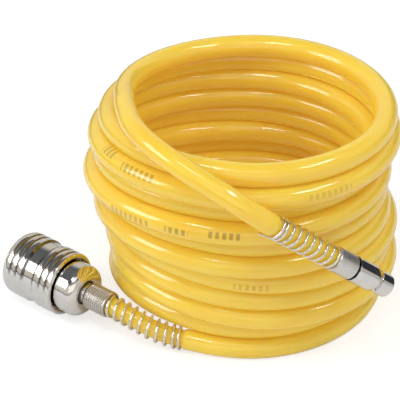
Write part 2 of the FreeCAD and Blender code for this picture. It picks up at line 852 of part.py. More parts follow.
rear = turned("coupler_rear_body", [
    ("socket_radius", "rear_start"),
    ("rear_radius", "rear_start"),
    ("rear_radius", "rear_end"),
    ("neck_radius", "rear_end"),
    ("neck_radius", "stub_start"),
    ("stub_radius", "stub_start"),
    ("stub_radius", "stub_end"),
    ("barb_waist", "stub_end"),
] + barb("stub_end", 3) + [
    ("barb_bore", "stub_end + barb_pitch + barb_pitch + barb_pitch"),
    ("barb_bore", "stub_end - 2"),
    ("air_bore_radius", "stub_end - 3"),
    ("air_bore_radius", "socket_end"),
    ("socket_radius", "socket_end"),
], coupler_at)
dressed(rear, "Fillet", "rear_body_shoulder", [("rear_radius", "rear_end")], "rear_shoulder")

coupler_nut = turned("coupler_clamp_nut", [
    ("nut_thread_radius", "nut_start"),
    ("nut_radius", "nut_start"),
    ("nut_radius", "nut_end"),
    ("nut_bore_radius", "nut_end"),
    ("nut_bore_radius", "nut_start + nut_thread_run"),
    ("nut_thread_radius", "nut_start + nut_thread_run"),
], coupler_at)
dressed(coupler_nut, "Chamfer", "coupler_nut_edges",
        [("nut_radius", "nut_start"), ("nut_radius", "nut_end")], "nut_chamfer")

# Coupler: valve and seals

poppet = turned("valve_poppet", [
    ("0", "poppet_tip"),
    ("poppet_nose_radius", "poppet_tip"),
    ("poppet_nose_radius", "poppet_nose_end"),
    ("poppet_seat_radius", "poppet_nose_end"),
    ("poppet_seat_radius", "poppet_face"),
    ("poppet_disc_radius", "poppet_face"),
    ("poppet_disc_radius", "poppet_disc_end"),
    ("poppet_stem_radius", "poppet_disc_end"),
    ("poppet_stem_radius", "poppet_stem_end"),
    ("0", "poppet_stem_end"),
], coupler_at)
dressed(poppet, "Chamfer", "poppet_nose_edge", [("poppet_nose_radius", "poppet_tip")], "nut_chamfer")


def flutes():
    """Slots along the nose that let the air past when the valve is pushed open."""
    sketch = poppet.newObject("Sketcher::SketchObject", "flute_outline")
    sketch.AttachmentSupport = [(plane(poppet, "XY_Plane"), "")]
    sketch.MapMode = "FlatFace"
    sketch.AttachmentOffset = Placement(Vector(0, 0, SIZES["poppet_tip"]), Rotation())
    sketch.setExpression(".AttachmentOffset.Base.z", "Sizes.poppet_tip")
    half = SIZES["flute_width"] / 2.0
    low = SIZES["flute_floor"]
    points = [Vector(low, -half, 0), Vector(5, -half, 0), Vector(5, half, 0), Vector(low, half, 0)]
    for start, end in zip(points, points[1:] + points[:1]):
        sketch.addGeometry(Part.LineSegment(start, end), False)
    for number in range(4):
        sketch.addConstraint(Sketcher.Constraint("Coincident", number, 2, (number + 1) % 4, 1))
    sketch.addConstraint(Sketcher.Constraint("Horizontal", 0))
    sketch.addConstraint(Sketcher.Constraint("Horizontal", 2))
    sketch.addConstraint(Sketcher.Constraint("Vertical", 1))
    sketch.addConstraint(Sketcher.Constraint("Symmetric", 0, 1, 2, 2, -1))
    at = sketch.addConstraint(Sketcher.Constraint("DistanceX", -1, 1, 0, 1, low))
    sketch.setExpression("Constraints[%d]" % at, "Sizes.flute_floor")
    sketch.addConstraint(Sketcher.Constraint("DistanceX", -1, 1, 0, 2, 5))
    at = sketch.addConstraint(Sketcher.Constraint("DistanceY", 1, 1, 1, 2, 2 * half))
    sketch.setExpression("Constraints[%d]" % at, "Sizes.flute_width")
    flute = poppet.newObject("PartDesign::Pocket", "flute")
    flute.Profile = sketch
    flute.Reversed = True
    flute.Length = size("poppet_nose_end - poppet_tip")
    flute.setExpression("Length", bound("poppet_nose_end - poppet_tip"))
    document.recompute()
    repeated(poppet, "flute_ring", flute, "flute_count")


must_shrink(poppet, flutes)

ring("plug_seal", "plug_seal_circle", "plug_seal_section", "plug_seal_station", coupler_at)
ring("valve_seal", "valve_seal_circle", "valve_seal_section", "valve_seal_station", coupler_at)
ring("body_seal", "body_seal_circle", "body_seal_section", "body_seal_station", coupler_at)

# Plug and its clamp nut

plug = turned("plug_body", [
    ("plug_bore_radius", "0"),
    ("nose_radius", "0"),
    ("nose_radius", "nose_length"),
    ("lock_radius", "lock_start"),
    ("lock_radius", "lock_end"),
    ("nose_radius", "flange_start"),
    ("nose_radius", "plug_start"),
    ("plug_radius", "plug_start"),
    ("plug_radius", "plug_end"),
    ("stub_radius", "plug_end"),
    ("stub_radius", "plug_stub_end"),
    ("barb_waist", "plug_stub_end"),
] + barb("plug_stub_end", 3) + [
    ("barb_bore", "plug_stub_end + barb_pitch + barb_pitch + barb_pitch"),
    ("barb_bore", "plug_bore_end + 0.6"),
    ("plug_bore_radius", "plug_bore_end"),
], plug_at)
dressed(plug, "Fillet", "plug_nose_rim", [("nose_radius", "0")], "nose_rounding")
dressed(plug, "Chamfer", "plug_edges", [("plug_radius", "plug_start"), ("plug_radius", "plug_end")], "mouth_face")

plug_nut = turned("plug_clamp_nut", [
    ("nut_thread_radius", "plug_nut_start"),
    ("plug_nut_radius", "plug_nut_start"),
    ("plug_nut_radius", "plug_nut_end"),
    ("nut_bore_radius", "plug_nut_end"),
    ("nut_bore_radius", "plug_nut_start + 5.4"),
    ("nut_thread_radius", "plug_nut_start + 5.4"),
], plug_at)
dressed(plug_nut, "Chamfer", "plug_nut_edges",
        [("plug_nut_radius", "plug_nut_start"), ("plug_nut_radius", "plug_nut_end")], "nut_chamfer")

# Springs

def straight_line(start, hand):
    """Line along a fitting's axis from a station. The hand is 1 for a right-hand spring or -1."""
    def frame(distance):
        return Vector(0, 0, start + distance), Vector(1, 0, 0), Vector(0, hand, 0)
    return frame


coupler_end_cover = SIZES["coupler_guard_start"] - SIZES["stub_end"]
hose_line = [(edge, edge.Length) for edge in reversed(coupler_edges)]


def coupler_hose_line(distance):
    """Middle line of the lower free stretch, from the clamp nut towards the coil."""
    left = max(distance + coupler_end_cover, 0.0)
    for edge, length in hose_line:
        if left <= length:
            break
        left -= length
    back = edge.getParameterByLength(max(length - left, 0.0))
    along = edge.tangentAt(back) * -1.0
    side = UP - along * UP.dot(along)
    side.normalize()
    return edge.valueAt(back), side, along.cross(side)


feature("plug_spring_guard", spring(
    "plug_spring_guard", straight_line(SIZES["plug_guard_start"], -1), "guard_wire", "guard_circle",
    size("plug_guard_end - plug_guard_start"), "plug_guard_turns", "plug_closed_pitch",
    SIZES["guard_start_turns"], SIZES["plug_closed_turns"], SIZES["guard_tail"]), plug_at)
feature("coupler_spring_guard", spring(
    "coupler_spring_guard", coupler_hose_line, "guard_wire", "guard_circle",
    size("coupler_guard_end - coupler_guard_start"), "coupler_guard_turns", "coupler_closed_pitch",
    SIZES["guard_start_turns"], SIZES["coupler_closed_turns"], SIZES["guard_wire"]))
feature("sleeve_spring", spring(
    "sleeve_spring", straight_line(SIZES["sleeve_spring_start"], 1), "sleeve_spring_wire",
    "sleeve_spring_circle", size("sleeve_spring_end - sleeve_spring_start"), "sleeve_spring_turns",
    "", -1.0, -1.0, SIZES["sleeve_spring_wire"]), coupler_at)
feature("valve_spring", spring(
    "valve_spring", straight_line(SIZES["valve_spring_start"], 1), "valve_spring_wire",
    "valve_spring_circle", size("valve_spring_end - valve_spring_start"), "valve_spring_turns",
    "", -1.0, -1.0, SIZES["valve_spring_wire"]), coupler_at)

# Every piece, checked and written

NODES = [
    "hose_coil", "coupler_tail_hose", "plug_tail_hose",
    "coupler_sleeve", "coupler_front_body", "coupler_rear_body", "coupler_clamp_nut",
    "coupler_spring_guard", "plug_body", "plug_clamp_nut", "plug_spring_guard",
    "locking_ball_1", "locking_ball_2", "locking_ball_3", "locking_ball_4",
    "sleeve_spring", "sleeve_stop_ring", "valve_poppet", "valve_seal", "valve_spring",
    "plug_seal", "body_seal",
]

document.recompute()
for item in document.Objects:
    if "Invalid" in item.State or "Error" in item.State:
        raise ValueError(item.Name + " failed")

pieces = {item.Label: item for item in document.Objects if item.Label in NODES}
whole = FreeCAD.BoundBox()
for name in NODES:
    shape = pieces[name].Shape
    if shape.isNull() or not shape.isValid() or len(shape.Solids) != 1:
        raise ValueError(name + " isn't one valid solid")
    whole.add(shape.BoundBox)

print("whole: x %.2f to %.2f, y %.2f to %.2f, z %.2f to %.2f" % (
    whole.XMin, whole.XMax, whole.YMin, whole.YMax, whole.ZMin, whole.ZMax))
print("coupler mouth", coupler_at.Base, "towards the hose", coupler_at.Rotation.multVec(UP))
print("plug tip", plug_at.Base, "towards the hose", plug_at.Rotation.multVec(UP))

os.makedirs("parts", exist_ok=True)
for name in NODES:
    pieces[name].Shape.exportStep("parts/" + name + ".step")
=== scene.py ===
import math

import bpy
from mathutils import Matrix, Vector


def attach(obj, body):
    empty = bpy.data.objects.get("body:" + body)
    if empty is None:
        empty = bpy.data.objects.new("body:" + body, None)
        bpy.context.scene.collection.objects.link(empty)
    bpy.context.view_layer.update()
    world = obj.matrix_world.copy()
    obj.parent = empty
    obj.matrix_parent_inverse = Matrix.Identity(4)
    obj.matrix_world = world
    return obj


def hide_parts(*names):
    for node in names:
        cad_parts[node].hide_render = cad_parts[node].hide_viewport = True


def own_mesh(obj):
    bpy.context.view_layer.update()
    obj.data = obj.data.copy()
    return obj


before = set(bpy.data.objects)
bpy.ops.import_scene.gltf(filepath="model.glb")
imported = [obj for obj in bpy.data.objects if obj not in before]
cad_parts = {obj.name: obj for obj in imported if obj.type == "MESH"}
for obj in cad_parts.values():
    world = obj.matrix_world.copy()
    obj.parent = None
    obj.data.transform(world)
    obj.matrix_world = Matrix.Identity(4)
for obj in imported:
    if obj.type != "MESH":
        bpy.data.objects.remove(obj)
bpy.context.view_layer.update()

# Coiled air hose with a quick coupler at its lower end and a plug at its upper end.
# Metres, +Z up, floor at z = 0. Places along the coil are in turns, and angles are in degrees where they are
# given as numbers. Stations are distances along a fitting's axis from its open end.

MM = 0.001

HOSE_DIAMETER = 8.0 * MM
HOSE_LOWEST = (-9.0, -9.0, 0.0)  # the hose is flat where it stands on the floor, and free in X and Y
SNUG = 1.10                      # wound turns swell until they meet their neighbours
SNUG_POINTS = 6.0                # points of the spline over which the swell comes and goes at the coil's ends
RING_SPACING = 1.1 * MM
SIDES = 24

# Middle of the coil on the floor, and the open ends and axes of the fittings (towards the hose)
COIL_MIDDLE = Vector((20.31, 1.07, 0.0)) * MM
COUPLER_TIP = Vector((-70.8583, 2.5201, 13.3935)) * MM
COUPLER_AXIS = Vector((0.7817764, -0.6232086, -0.0208965))
PLUG_TIP = Vector((67.9370, -46.1810, 35.2600)) * MM
PLUG_AXIS = Vector((-0.7387796, -0.2601337, 0.6217195))

# Corners of the two free stretches, from the fitting to the coil. The second keeps the end run straight
COUPLER_CORNERS = [
    (-0.03818, -0.02353, 0.01252), (-0.03182, -0.0286, 0.01235), (-0.02503, -0.03273, 0.01062),
    (-0.01788, -0.03568, 0.00765), (-0.01006, -0.0372, 0.00535), (-0.00217, -0.03896, 0.00477),
]
PLUG_CORNERS = [
    (0.05161, -0.05193, 0.049), (0.032529, -0.058649, 0.065057), (0.02321, -0.06193, 0.0729),
    (0.01311, -0.06183, 0.0804), (0.00261, -0.05843, 0.0862), (-0.01259, -0.04863, 0.0918),
    (-0.02399, -0.03253, 0.0932), (-0.02771, -0.01227, 0.09173), (-0.02794, -0.00535, 0.09069),
]

# Plain dashes printed on the hose: first and last place along it, rise of the side that they face, strength.
# The rise is 1 for the top of the hose and 0 for its outer side
HOSE_MARKS = (
    (2.9610, 2.9690, 0.90, 0.45), (2.9745, 2.9895, 0.62, 0.50),
    (2.3090, 2.3270, -0.04, 0.45), (2.3330, 2.3415, 0.03, 0.60), (2.3478, 2.3592, 0.28, 0.60),
    (3.0417, 3.0596, 0.22, 0.25), (1.3438, 1.3557, 0.0, 0.30),
)
MARK_STEP = 2.3 * MM
MARK_SHARE = 0.55                # part of each step that is printed
MARK_RISE = 0.27                 # half the rise that a dash covers
MARK_COLOUR = (0.16, 0.11, 0.025, 1.0)

# Painted shade on the metal: on the upper half of grooves and edges, and all round over stretches
GROOVE_SHADE_COLOUR = (0.10, 0.095, 0.09, 1.0)
GROOVE_SHADE_STRENGTH = 0.85
GROOVE_SHADE_WIDTHS = (0.35 * MM, 0.80 * MM)    # half widths of its full and of its whole breadth
GROOVE_SHADE_HEIGHTS = (1.5 * MM, 4.5 * MM)     # heights over the axis between which it sets in
SHADE_COLOUR = (0.05, 0.048, 0.045, 1.0)
SHADE_STRENGTH = 0.92

# Stations. The sleeve's wall swells between the grooves of its two ribbed bands, and the edges of its waist
# get painted shade like grooves
RIB_GROOVES = ((5.0 * MM, 8.0 * MM), (20.2 * MM, 23.2 * MM))
WAIST_EDGES = (11.35 * MM, 16.65 * MM)
RIB_BEFORE = 3.3 * MM
RIB_BEHIND = 2.7 * MM
RIB_SWELL = 0.10                 # millimetres
# Stretches darkened all round with painted shade, where the gaps at the plug's joint and the clamp nuts'
# edges lie in shadow
PLUG_JOINT_SHADE = (18.2 * MM, 19.2 * MM)
PLUG_NUT_EDGE_SHADE = (18.9 * MM, 19.35 * MM)
COUPLER_NUT_EDGE_SHADE = (36.0 * MM, 37.0 * MM)
COUPLER_NUT_RINGS = 1.05 * MM

# Stretches under the spring guards, which draw the hose in, as distances from its two ends
COUPLER_NECK = (4.8 * MM, 36.9 * MM)
PLUG_NECK = (5.9 * MM, 36.3 * MM)
NECK_SHARE = 0.845

# Coil: turns are counted from the top, lengths in millimetres
FIRST_TURN = 0.10
LAST_TURN = 10.88
FORMULA_END = 10.944
COIL_START = 215.0               # degrees, from which the turns run clockwise
COIL_RADIUS = 51.91
COIL_BULGE = 1.49
COIL_TAPER = 2.37
BEAT_DEPTH = 2.23
BEAT_START = 2.875
BEAT_TURNS = 2.239
BEAT_EASE = 1.2
TOP_DRAW_IN = 5.88
TOP_TURNS = 0.75
TOP_LIFT = 2.4
TOP_LIFT_TURNS = 0.3
SWAY = 2.78
SWAY_START = 0.95
SWAY_TURNS = 9.0
COIL_ORIGIN = (-3.05, 0.58)
COIL_LEAN = 8.21
TURN_SPACING = 8.66              # between the middle lines of two turns that touch
LARGEST_OFFSET = 6.5
FOOT_HEIGHT = 3.5
FOOT_TURNS = 0.6                 # part of the lowest turn that lies level
END_LIFT = 0.7
END_LIFT_LIMIT = 1.4
END_LIFT_TURNS = 0.06
POINTS_PER_TURN = 24
OUTWARD = 2.0 / (1.5 + 0.5 * math.cos(2.0 * math.pi / POINTS_PER_TURN))   # the spline cuts inside its points

# Knurl of the coupler's nut
KNURL_START = 37.1 * MM
KNURL_AROUND = 52
KNURL_ROWS = 17
KNURL_RADIUS = 4.97 * MM
KNURL_STEP = 0.56 * MM
KNURL_HEIGHT = 0.26 * MM
KNURL_WIDTH = 0.40 * MM

# Lamps: azimuth and elevation in degrees, width and height in metres, brightness
LAMPS = (
    ("left_wall", -104.0, 27.0, 0.48, 0.38, 5.1),
    ("front_left_overhead", -145.0, 65.0, 0.26, 0.085, 17.0),
    ("right_overhead", 107.0, 56.0, 0.40, 0.085, 15.0),
    ("front_fill", 180.0, 22.0, 0.90, 0.50, 0.5),
    ("front_top_fill", 178.0, 60.0, 0.50, 0.40, 1.0),
)
LAMP_DISTANCE = 0.9
LAMP_TARGET = Vector((0.0, 0.0, 0.05))

CAMERA_TARGET = Vector((-0.19, 1.07, 42.65)) * MM
CAMERA_DISTANCE = 0.62
CAMERA_TILT = math.radians(32.225)
CAMERA_LENS = 144.0
FLOOR_SIZE = 6.0


# Materials

class Value:
    """A number that varies over a surface. Sums and products of values become Math nodes."""

    def __init__(self, finish, link):
        self.finish = finish
        self.link = link

    def maths(self, operation, *terms):
        sockets = dict(enumerate(terms))
        return self.finish.node("ShaderNodeMath", {"operation": operation}, sockets)

    def __add__(self, other):
        return self.maths("ADD", self, other)

    def __radd__(self, other):
        return self.maths("ADD", other, self)

    def __sub__(self, other):
        return self.maths("SUBTRACT", self, other)

    def __rsub__(self, other):
        return self.maths("SUBTRACT", other, self)

    def __mul__(self, other):
        return self.maths("MULTIPLY", self, other)

    def __gt__(self, other):
        return self.maths("GREATER_THAN", self, other)

    def __lt__(self, other):
        return self.maths("LESS_THAN", self, other)

    def __abs__(self):
        return self.through("ABSOLUTE")

    def through(self, operation):
        """The value put through a Math node that takes nothing else."""
        return self.maths(operation, self)

    def within(self, low, high):
        """1 where the value lies between two limits, 0 elsewhere."""
        return (self > low) * (self < high)

    def eased(self, low, high):
        """0 below low, 1 above high and smooth between."""
        sockets = {"Value": self, "From Min": low, "From Max": high}
        return self.finish.node("ShaderNodeMapRange", {"interpolation_type": "SMOOTHSTEP"}, sockets)


class Finish:
    """A node tree for a surface, a sky or a floor, built node by node."""

    def __init__(self, owner):
        owner.use_nodes = True
        self.owner = owner
        self.tree = owner.node_tree

    def node(self, kind, settings, sockets, output=0):
        """Adds a node: its settings first, then the numbers and links of its sockets."""
        made = self.tree.nodes.new(kind)
        for name, value in settings.items():
            if name == "stops":
                ramp = made.color_ramp.elements
                while len(ramp) < len(value):
                    ramp.new(1.0)
                for element, (position, colour) in zip(ramp, value):
                    element.position = position
                    element.color = (*colour, 1.0)
            else:
                setattr(made, name, value)
        for name, value in sockets.items():
            if isinstance(value, Value):
                self.tree.links.new(value.link, made.inputs[name])
            else:
                made.inputs[name].default_value = value
        return Value(self, made.outputs[output])

    def noise(self, place, scale, detail=3.0, roughness=0.5):
        sockets = {"Vector": place, "Scale": scale, "Detail": detail, "Roughness": roughness}
        return self.node("ShaderNodeTexNoise", {}, sockets)

    def object_place(self):
        return self.node("ShaderNodeTexCoord", {}, {}, "Object")

    def attribute(self, name, output):
        return self.node("ShaderNodeAttribute", {"attribute_name": name}, {}, output)

    def combined(self, x, y, z):
        return self.node("ShaderNodeCombineXYZ", {}, {"X": x, "Y": y, "Z": z})

    def along(self, place, direction):
        """The part of a place that lies along a direction."""
        sockets = {0: place, 1: tuple(direction)}
        return self.node("ShaderNodeVectorMath", {"operation": "DOT_PRODUCT"}, sockets, "Value")

    def parts(self, place):
        """The three parts of a place."""
        split = self.node("ShaderNodeSeparateXYZ", {}, {"Vector": place})
        return [Value(self, output) for output in split.link.node.outputs]

    def moved(self, place, offset):
        sockets = {0: place, 1: tuple(offset)}
        return self.node("ShaderNodeVectorMath", {"operation": "SUBTRACT"}, sockets)

    def colours(self, factor, stops):
        return self.node("ShaderNodeValToRGB", {"stops": stops}, {"Fac": factor})

    def mixed(self, factor, first, second):
        """Between two colours, which are the seventh and eighth sockets of a Mix node."""
        return self.node("ShaderNodeMix", {"data_type": "RGBA"}, {0: factor, 6: first, 7: second}, 2)

    def bumped(self, height, distance, strength=1.0):
        sockets = {"Height": height, "Distance": distance, "Strength": strength}
        return self.node("ShaderNodeBump", {}, sockets)

    def surface(self, **sockets):
        """Sets the Principled shader's sockets, with underscores for the spaces in their names."""
        shader = self.tree.nodes["Principled BSDF"]
        for name, value in sockets.items():
            socket = shader.inputs[name.replace("_", " ")]
            if isinstance(value, Value):
                self.tree.links.new(value.link, socket)
            else:
                socket.default_value = value


def finish(name):
    return Finish(bpy.data.materials.new(name))


def in_collection(obj):
    bpy.context.scene.collection.objects.link(obj)
    return obj


def axial_places(made, tip, axis):
    """Station along a fitting's axis from its open end, and the places across and above that axis."""
    side = axis.cross(Vector((0.0, 0.0, 1.0))).normalized()
    place = made.moved(made.object_place(), tip)
    return [made.along(place, direction) for direction in (axis, side, side.cross(axis))]


def shaded_over(made, colour, station, stretches):
    """A colour with painted shade over stretches, each from one station to another, where gaps lie in shadow.
    """
    for low, high in stretches:
        colour = made.mixed(station.within(low, high) * SHADE_STRENGTH, colour, SHADE_COLOUR)
    return colour


def hose_skin():
    """Glossy, slightly clear yellow tube with faint draw lines along it and a faint painted glow."""
    made = finish("hose_yellow")
    run = made.attribute("run", "Fac")
    across, upward = made.parts(made.attribute("side", "Vector"))[:2]
    cloud = made.noise(made.object_place(), 38.0, 2.0)
    draw_lines = made.noise(made.combined(across * 9.0, upward * 9.0, run * 14.0), 1.6, 2.0)
    waver = made.noise(made.combined(across, upward, run * 55.0), 1.0, 2.0)
    tone = cloud * 0.6 + draw_lines * 0.25 + waver * 0.15
    colour = made.colours(tone, [
        (0.30, (0.83, 0.550, 0.054)),
        (0.50, (0.88, 0.602, 0.068)),
        (0.72, (0.92, 0.644, 0.086)),
    ])
    backward, rise = made.parts(made.node("ShaderNodeNewGeometry", {}, {}, "Normal"))[1:]
    dash = (run * (1.0 / MARK_STEP)).through("FRACT") < MARK_SHARE
    on_front = dash * (backward < 0.12)
    for start, end, middle, strength in HOSE_MARKS:
        mark = run.within(start, end) * rise.within(middle - MARK_RISE, middle + MARK_RISE) * on_front
        colour = made.mixed(mark * strength, colour, MARK_COLOUR)
    made.surface(
        Base_Color=colour,
        Roughness=0.13 + draw_lines * 0.08,
        Normal=made.bumped(waver * 0.7 + draw_lines * 0.3, 0.22 * MM, 0.55),
        IOR=1.5,
        Subsurface_Weight=0.80,
        Subsurface_Radius=(0.0120, 0.0065, 0.0016),
        Subsurface_Scale=1.0,
        Coat_Weight=0.6,
        Coat_Roughness=0.05,
        Coat_IOR=1.45,
        # Painted glow: a faint emission lightens the tube where it lies in shade, standing in for light
        # passing through it
        Emission_Color=(0.80, 0.56, 0.070, 1.0),
        Emission_Strength=0.11,
    )
    return made.owner


def plated_steel(name, tip, axis, tint=(0.80, 0.79, 0.77), gloss=0.07, ribs=(), edges=(), stretches=()):
    """Polished plating over turned steel: fine rings round the axis and a few hazy patches.

    Ribs are pairs of grooves with a swelling wall between them. Painted shade darkens the upper half of the
    grooves and edges, and stretches from one station to another are darkened all round with painted shade.
    """
    made = finish(name)
    station, across, upward = axial_places(made, tip, axis)
    rings = made.noise(made.combined(0.0, 0.0, station), 5200.0, 3.0, 0.7)
    haze = made.noise(made.object_place(), 260.0, 4.0)
    scratches = made.noise(made.combined(across * 0.15, upward * 0.15, station), 3000.0, 2.0)
    tone = haze * 0.6 + scratches * 0.4
    dark = tuple(level * 0.90 for level in tint)
    colour = made.mixed(tone.eased(0.35, 0.65), (*dark, 1.0), (*tint, 1.0))
    height = rings * 0.012
    for first, second in ribs:
        wave = ((station - first) * (2.0 * math.pi / (second - first))).through("COSINE")
        here = station.within(first - RIB_BEFORE, second + RIB_BEHIND)
        height = height - wave * here * RIB_SWELL
    for place in [groove for pair in ribs for groove in pair] + list(edges):
        # Painted shade: the upper half of each groove and of each edge is darkened
        groove_shade = (1.0 - abs(station - place).eased(*GROOVE_SHADE_WIDTHS)) * upward.eased(*GROOVE_SHADE_HEIGHTS)
        colour = made.mixed(groove_shade * GROOVE_SHADE_STRENGTH, colour, GROOVE_SHADE_COLOUR)
    made.surface(
        Base_Color=shaded_over(made, colour, station, stretches),
        Metallic=1.0,
        Roughness=gloss + haze.eased(0.45, 0.75) * 0.07 + rings * 0.03,
        Normal=made.bumped(height, MM, 0.5),
    )
    return made.owner


def satin_steel(name, tip, axis, ring_step=0.0, stretches=()):
    """Blasted steel that scatters the light, with rings of a given step, painted shade in their hollows and
    over stretches.
    """
    made = finish(name)
    station = axial_places(made, tip, axis)[0]
    grain = made.noise(made.object_place(), 1900.0, 2.0, 0.6)
    rings = made.noise(made.combined(0.0, 0.0, station), 2600.0, 2.0)
    worn = made.noise(made.object_place(), 420.0, 3.0)
    colour = made.colours(grain * 0.85 + worn * 0.15, [
        (0.30, (0.60, 0.585, 0.565)),
        (0.55, (0.72, 0.705, 0.69)),
        (0.75, (0.82, 0.81, 0.795)),
    ])
    height = grain * 0.8 + rings * 0.2
    if ring_step:
        ridge = (station * (2.0 * math.pi / ring_step)).through("SINE")
        # Painted shade: the hollows of the rings are darker in colour as well as bumped
        colour = made.mixed(ridge.eased(-0.2, 0.9), (0.46, 0.44, 0.41, 1.0), colour)
        height = height * 0.6 + ridge * 0.5
    made.surface(
        Base_Color=shaded_over(made, colour, station, stretches),
        Metallic=1.0,
        Roughness=0.24 + grain * 0.14 - worn.eased(0.5, 0.8) * 0.03,
        Normal=made.bumped(height, 0.10 * MM, 0.6),
    )
    return made.owner


def spring_wire(name):
    """Bright drawn wire with die lines and a trace of oil."""
    made = finish(name)
    place = made.object_place()
    lines = made.noise(place, 2400.0, 3.0, 0.6)
    stain = made.noise(place, 300.0, 3.0)
    colour = made.mixed(stain.eased(0.4, 0.7), (0.86, 0.83, 0.77, 1.0), (0.74, 0.69, 0.61, 1.0))
    made.surface(
        Base_Color=colour,
        Metallic=1.0,
        Roughness=0.16 + lines * 0.12,
        Normal=made.bumped(lines, 0.03 * MM, 0.5),
    )
    return made.owner


def turned_brass(name, tip, axis):
    made = finish(name)
    station = axial_places(made, tip, axis)[0]
    rings = made.noise(made.combined(0.0, 0.0, station), 4200.0, 2.0)
    dull = made.noise(made.object_place(), 350.0, 3.0)
    colour = made.mixed(dull.eased(0.35, 0.7), (0.80, 0.61, 0.27, 1.0), (0.58, 0.42, 0.17, 1.0))
    made.surface(
        Base_Color=colour,
        Metallic=1.0,
        Roughness=0.22 + dull * 0.16,
        Normal=made.bumped(rings, 0.02 * MM, 0.6),
    )
    return made.owner


def black_rubber(name):
    made = finish(name)
    place = made.object_place()
    grain = made.noise(place, 2600.0, 3.0)
    bloom = made.noise(place, 500.0, 3.0)
    colour = made.mixed(bloom.eased(0.45, 0.8), (0.018, 0.018, 0.019, 1.0), (0.045, 0.045, 0.047, 1.0))
    made.surface(
        Base_Color=colour,
        Roughness=0.48 + bloom * 0.22,
        Normal=made.bumped(grain, 0.03 * MM, 0.5),
    )
    return made.owner


# Node trees for geometry

class Pattern:
    """A geometry node tree with named inputs, and the object that it is run on."""

    def __init__(self, name, inputs):
        self.tree = bpy.data.node_groups.new(name, "GeometryNodeTree")
        for label, kind in inputs:
            self.tree.interface.new_socket(label, in_out="INPUT", socket_type=kind)
        self.tree.interface.new_socket("Geometry", in_out="OUTPUT", socket_type="NodeSocketGeometry")
        self.given = self.tree.nodes.new("NodeGroupInput")
        self.result = self.tree.nodes.new("NodeGroupOutput")

    def node(self, kind, settings, sockets, output=0):
        """Adds a node: its settings first, then the numbers and links of its sockets."""
        made = self.tree.nodes.new(kind)
        for name, value in settings.items():
            setattr(made, name, value)
        for name, value in sockets.items():
            if isinstance(value, bpy.types.NodeSocket):
                self.tree.links.new(value, made.inputs[name])
            else:
                made.inputs[name].default_value = value
        return made.outputs[output]

    def maths(self, operation, first, second=0.0):
        return self.node("ShaderNodeMath", {"operation": operation}, {0: first, 1: second})

    def vector_maths(self, operation, sockets):
        return self.node("ShaderNodeVectorMath", {"operation": operation}, sockets)

    def kept(self, geometry, name, kind, value):
        """Geometry whose points remember a value under a name."""
        return self.node("GeometryNodeStoreNamedAttribute", {"data_type": kind, "domain": "POINT"},
                         {"Geometry": geometry, "Name": name, "Value": value})

    def between(self, value, low, high):
        """1 where the value lies between two limits, 0 elsewhere."""
        above = self.maths("GREATER_THAN", value, low)
        return self.maths("MULTIPLY", above, self.maths("LESS_THAN", value, high))

    def ended(self, geometry):
        """Ends the tree in real geometry with the piece's material on it."""
        real = self.node("GeometryNodeRealizeInstances", {}, {"Geometry": geometry})
        skin = self.node("GeometryNodeSetMaterial", {},
                         {"Geometry": real, "Material": self.given.outputs["Skin"]})
        self.tree.links.new(skin, self.result.inputs[0])

    def made(self, name, values):
        """Runs the tree and returns its result as a plain mesh piece."""
        carrier_mesh = bpy.data.meshes.new(name + "_pattern")
        carrier = in_collection(bpy.data.objects.new(name + "_pattern", carrier_mesh))
        modifier = carrier.modifiers.new("pattern", "NODES")
        modifier.node_group = self.tree
        for item in self.tree.interface.items_tree:
            if item.in_out == "INPUT" and item.name in values:
                modifier[item.identifier] = values[item.name]
        bpy.context.view_layer.update()
        graph = bpy.context.evaluated_depsgraph_get()
        mesh = bpy.data.meshes.new_from_object(carrier.evaluated_get(graph))
        mesh.name = name
        carrier.modifiers.remove(modifier)
        bpy.data.objects.remove(carrier)
        return in_collection(bpy.data.objects.new(name, mesh))


# Hose

def smooth(value):
    value = min(max(value, 0.0), 1.0)
    return value * value * (3.0 - 2.0 * value)


def fading(distance, reach):
    """1 where the distance is none, falling to 0 where it is the reach."""
    return max(0.0, 1.0 - distance / reach) ** 2


def coil_angle(turn):
    return math.radians(COIL_START - 360.0 * turn)


def coil_plan(turn):
    """Place of the hose's middle line seen from above: slow swell, taper, sway and an uneven beat."""
    part = turn / FORMULA_END
    beat = math.cos(2.0 * math.pi * (turn - BEAT_START) / BEAT_TURNS) * smooth(turn / BEAT_EASE)
    radius = COIL_RADIUS + COIL_BULGE * math.sin(math.pi * part) - COIL_TAPER * part ** 3
    radius -= BEAT_DEPTH * beat + TOP_DRAW_IN * fading(turn, TOP_TURNS)
    sway = SWAY * math.cos(2.0 * math.pi * (turn + SWAY_START) / SWAY_TURNS)
    x = COIL_ORIGIN[0] + sway + radius * math.cos(coil_angle(turn))
    y = COIL_ORIGIN[1] + COIL_LEAN * part + radius * math.sin(coil_angle(turn))
    return x, y, radius


def coil_rise(turn):
    """Height of a turn above the one below it."""
    x, y, radius = coil_plan(turn)
    below_x, below_y, below_radius = coil_plan(turn + 1.0)
    angle = coil_angle(turn)
    offset = (x - below_x) * math.cos(angle) + (y - below_y) * math.sin(angle)
    return math.sqrt(TURN_SPACING ** 2 - min(abs(offset), LARGEST_OFFSET) ** 2)


def end_lift(turn):
    """Rise of the lowest turn's end towards the coupler."""
    return min(END_LIFT * fading(LAST_TURN - turn, END_LIFT_TURNS), END_LIFT_LIMIT)


def coil_height(turn):
    """Height of the hose's middle line, added up from the turns below."""
    left = FORMULA_END - turn
    if left >= 1.0:
        return coil_height(turn + 1.0) + coil_rise(turn)
    top = coil_rise(FORMULA_END - 1.0) + end_lift(FORMULA_END)
    return FOOT_HEIGHT + end_lift(turn) + top * smooth((left - FOOT_TURNS) / (1.0 - FOOT_TURNS))


